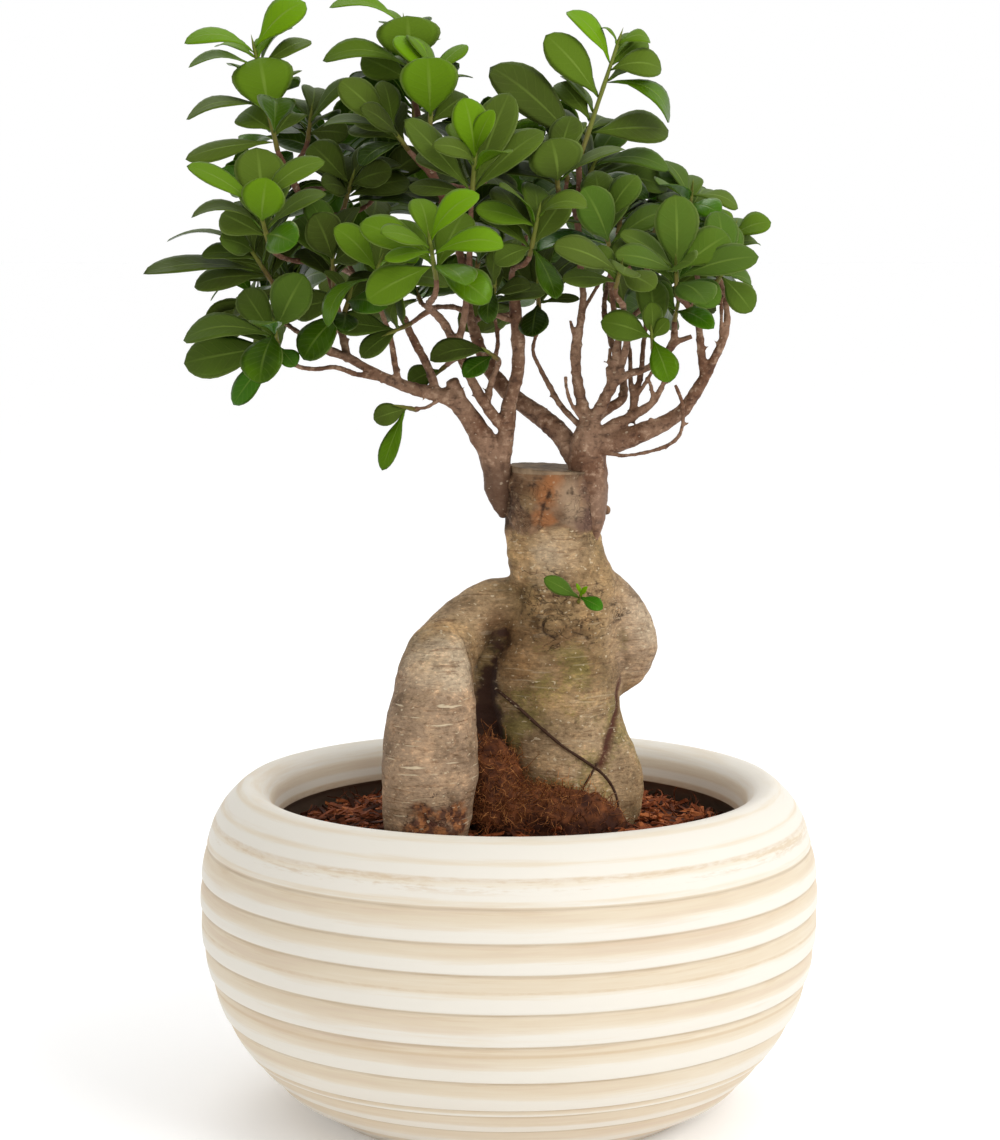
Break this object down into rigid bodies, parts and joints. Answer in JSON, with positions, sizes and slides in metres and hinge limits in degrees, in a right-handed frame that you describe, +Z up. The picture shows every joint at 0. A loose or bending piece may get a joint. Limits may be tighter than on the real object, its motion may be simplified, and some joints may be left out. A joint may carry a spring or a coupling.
{
  "type": "ficus ginseng bonsai in a bowl planter",
  "caption": "Ficus ginseng bonsai: a swollen trunk with an arching root leg and two grafted leafy crowns, in a round ribbed ceramic bowl of soil topped with bark mulch.",
  "frame": {"origin": "centre of the bowl's flat foot, on the plane it stands on", "axes": "+Z up along the bowl's axis; the side seen in the picture faces -Y, and the leg-like root is on the -X side"},
  "size_m": [0.293, 0.274, 0.4907],
  "materials": {
    "bowl_ceramic": "matt ivory wash over horizontal ribs, tan in the grooves",
    "soil": "rough damp potting soil",
    "bark_chips": "rough red-brown shredded bark",
    "root_fibre": "rough matted fibre",
    "root_bark": "smooth grey-tan bark with fine cross lines and pale lenticels",
    "branch_bark": "matt red-brown bark",
    "leaf": "glossy leathery green leaf"
  },
  "bodies": {
    "root": {"bowl": "bowl_ceramic", "growing_medium": "soil", "bark_mulch": "bark_chips", "root_fibre_mass": "root_fibre", "rootstock": "root_bark", "left_scion": "branch_bark", "right_scion": "branch_bark", "trunk_shoot": "leaf", "centre_cup_shoot": "leaf", "centre_right_shoot": "leaf", "curved_left_shoot": "leaf", "drooping_shoot": "leaf", "far_left_shoot": "leaf", "front_centre_left_shoot": "leaf", "front_centre_right_shoot": "leaf", "front_centre_shoot": "leaf", "front_right_shoot": "leaf", "hanging_right_shoot": "leaf", "inner_centre_shoot": "leaf", "inner_left_shoot": "leaf", "inner_low_centre_shoot": "leaf", "inner_low_far_left_shoot": "leaf", "inner_low_left_shoot": "leaf", "inner_middle_left_shoot": "leaf", "inner_right_shoot": "leaf", "long_right_shoot": "leaf", "low_right_shoot": "leaf", "lower_inner_left_shoot": "leaf", "lower_left_shoot": "leaf", "middle_left_shoot": "leaf", "rear_centre_shoot": "leaf", "rear_centre_top_shoot": "leaf", "rear_far_left_shoot": "leaf", "rear_far_right_shoot": "leaf", "rear_low_far_left_shoot": "leaf", "rear_low_right_shoot": "leaf", "rear_lower_left_shoot": "leaf", "rear_middle_left_shoot": "leaf", "rear_right_shoot": "leaf", "rear_right_top_shoot": "leaf", "rear_side_right_shoot": "leaf", "rear_top_shoot": "leaf", "rear_under_left_shoot": "leaf", "rear_under_right_shoot": "leaf", "rear_upper_left_shoot": "leaf", "right_end_shoot": "leaf", "stub_right_shoot": "leaf", "top_centre_front_shoot": "leaf", "top_centre_left_shoot": "leaf", "top_centre_shoot": "leaf", "top_right_shoot": "leaf", "under_centre_front_shoot": "leaf", "under_centre_shoot": "leaf", "under_left_shoot": "leaf", "under_middle_left_shoot": "leaf", "under_small_shoot": "leaf", "upper_centre_shoot": "leaf", "upper_inner_left_shoot": "leaf", "upper_left_shoot": "leaf", "upper_right_shoot": "leaf"}
  },
  "joints": []
}
